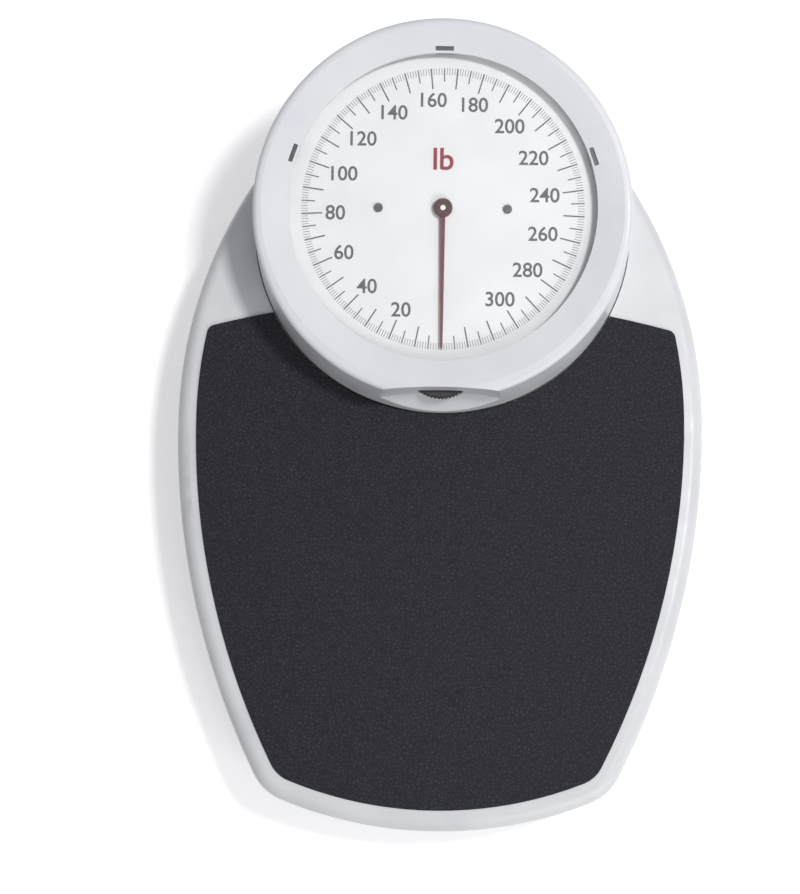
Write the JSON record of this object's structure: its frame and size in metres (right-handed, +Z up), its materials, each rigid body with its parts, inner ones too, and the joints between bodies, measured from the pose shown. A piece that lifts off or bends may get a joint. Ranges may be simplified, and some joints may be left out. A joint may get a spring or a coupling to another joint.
{
  "type": "dial bathroom scale",
  "caption": "Mechanical floor scale: a metal platform with a grained mat and a large round dial head with a clear window, a turning pointer and a zero thumbwheel.",
  "frame": {"origin": "middle of the footprint, on the floor under the feet", "axes": "+Z up, +Y towards the dial head, +X to the right of a person who stands on the mat and faces the dial"},
  "size_m": [0.322, 0.482, 0.1166],
  "materials": {
    "white_enamel": "satin",
    "white_plastic": "satin",
    "mat_rubber": "fine leather grain, matte",
    "foot_rubber": "matte",
    "window_clear": "clear moulded plastic",
    "dial_card": "matte white print ground",
    "pointer_red": "dark red enamel",
    "cap_dark": "polished",
    "wheel_black": "knurled edge",
    "dark_screw": "blackened",
    "zinc_steel": "zinc plated",
    "lever_steel": "oiled pressed steel",
    "hard_steel": "ground and hardened",
    "spring_steel": "drawn wire",
    "brass": "turned",
    "dark_plastic": "moulded"
  },
  "bodies": {
    "base": {"base_pan": "white_enamel", "rubber_feet": "foot_rubber", "front_fulcrum_left": "zinc_steel", "front_fulcrum_right": "zinc_steel", "rear_fulcrum_left": "zinc_steel", "rear_fulcrum_right": "zinc_steel", "base_rivets": "zinc_steel", "head_housing": "white_plastic", "housing_screws": "zinc_steel", "bezel_ring": "white_plastic", "dial_window": "window_clear", "window_clips": "dark_plastic", "dial_plate": "dial_card", "dial_screws": "dark_screw", "dial_posts": "dark_plastic", "mechanism_frame": "zinc_steel", "upper_bearing": "brass", "lower_bearing_bracket": "zinc_steel", "rack_guide": "dark_plastic", "crank_bracket": "zinc_steel", "crank_pin": "hard_steel", "zero_arm_bracket": "zinc_steel", "zero_arm_pin": "hard_steel", "zero_pedestal": "zinc_steel", "main_spring": "spring_steel", "rack_spring": "spring_steel"},
    "platform": {"platform_cover": "white_enamel", "foot_mat": "mat_rubber", "front_hanger_left": "zinc_steel", "front_hanger_right": "zinc_steel", "rear_hanger_left": "zinc_steel", "rear_hanger_right": "zinc_steel"},
    "main_lever": {"long_lever_left": "lever_steel", "long_lever_right": "lever_steel", "long_lever_knives": "hard_steel", "nose_bar": "hard_steel", "nose_plate": "lever_steel", "transfer_seats": "lever_steel"},
    "short_lever_right": {"short_lever_right": "lever_steel", "short_knives_right": "hard_steel"},
    "short_lever_left": {"short_lever_left": "lever_steel", "short_knives_left": "hard_steel"},
    "bell_crank": {"bell_crank": "lever_steel"},
    "rack": {"rack": "brass"},
    "pointer": {"pointer": "pointer_red", "pointer_cap": "cap_dark", "pinion_shaft": "hard_steel", "pinion": "hard_steel"},
    "zero_wheel": {"zero_wheel": "wheel_black", "zero_screw": "zinc_steel"},
    "zero_nut": {"zero_nut": "brass"},
    "zero_arm": {"zero_arm": "lever_steel", "spring_pin": "hard_steel"}
  },
  "joints": [
    {"name": "platform_travel", "type": "slide", "parent": "base", "child": "platform", "axis": [0, 0, -1], "range_m": [0, 0.0025], "stiffness_N_per_m": 588600, "deforming": ["main_spring"]},
    {"name": "main_lever_tilt", "type": "hinge", "parent": "base", "child": "main_lever", "pos_m": [0, -0.17, 0.034], "axis": [-1, 0, 0], "range_deg": [0, 3.58]},
    {"name": "short_lever_right_tilt", "type": "hinge", "parent": "base", "child": "short_lever_right", "pos_m": [0.12601, 0.08602, 0.034], "axis": [0.8968, -0.4424, 0], "range_deg": [0, 4.54]},
    {"name": "short_lever_left_tilt", "type": "hinge", "parent": "base", "child": "short_lever_left", "pos_m": [-0.12601, 0.08602, 0.034], "axis": [0.8968, 0.4424, 0], "range_deg": [0, 4.54]},
    {"name": "bell_crank_turn", "type": "hinge", "parent": "base", "child": "bell_crank", "pos_m": [0.01325, 0.1556, 0.03531], "axis": [1, 0, 0], "range_deg": [0, 30.1]},
    {"name": "rack_slide", "type": "slide", "parent": "base", "child": "rack", "axis": [0, -0.9903, -0.1392], "range_m": [0, 0.022], "deforming": ["rack_spring"]},
    {"name": "pointer_turn", "type": "hinge", "parent": "base", "child": "pointer", "pos_m": [0, 0.125, 0.10118], "axis": [0, 0.1392, -0.9903], "range_deg": [0, 360.1]},
    {"name": "zero_wheel_turn", "type": "hinge", "parent": "base", "child": "zero_wheel", "pos_m": [0, 0.0358, 0.073], "axis": [0, 0, 1], "range_deg": [-540, 540]},
    {"name": "zero_nut_lift", "type": "slide", "parent": "base", "child": "zero_nut", "axis": [0, 0, 1], "range_m": [-0.0015, 0.0015]},
    {"name": "zero_arm_tilt", "type": "hinge", "parent": "base", "child": "zero_arm", "pos_m": [0, 0.13397, 0.064], "axis": [-1, 0, 0], "range_deg": [-0.88, 0.88]}
  ],
  "couplings": [
    {"joint": "main_lever_tilt", "follows": "platform_travel", "rad_per_m": 25},
    {"joint": "short_lever_right_tilt", "follows": "platform_travel", "rad_per_m": 31.721},
    {"joint": "short_lever_left_tilt", "follows": "platform_travel", "rad_per_m": 31.721},
    {"joint": "bell_crank_turn", "follows": "platform_travel", "rad_per_m": 210.06},
    {"joint": "rack_slide", "follows": "platform_travel", "ratio": 8.7965},
    {"joint": "pointer_turn", "follows": "platform_travel", "rad_per_m": 2513.3},
    {"joint": "zero_nut_lift", "follows": "zero_wheel_turn", "m_per_rad": 0.00015915},
    {"joint": "zero_arm_tilt", "follows": "zero_wheel_turn", "ratio": 0.0016212}
  ]
}
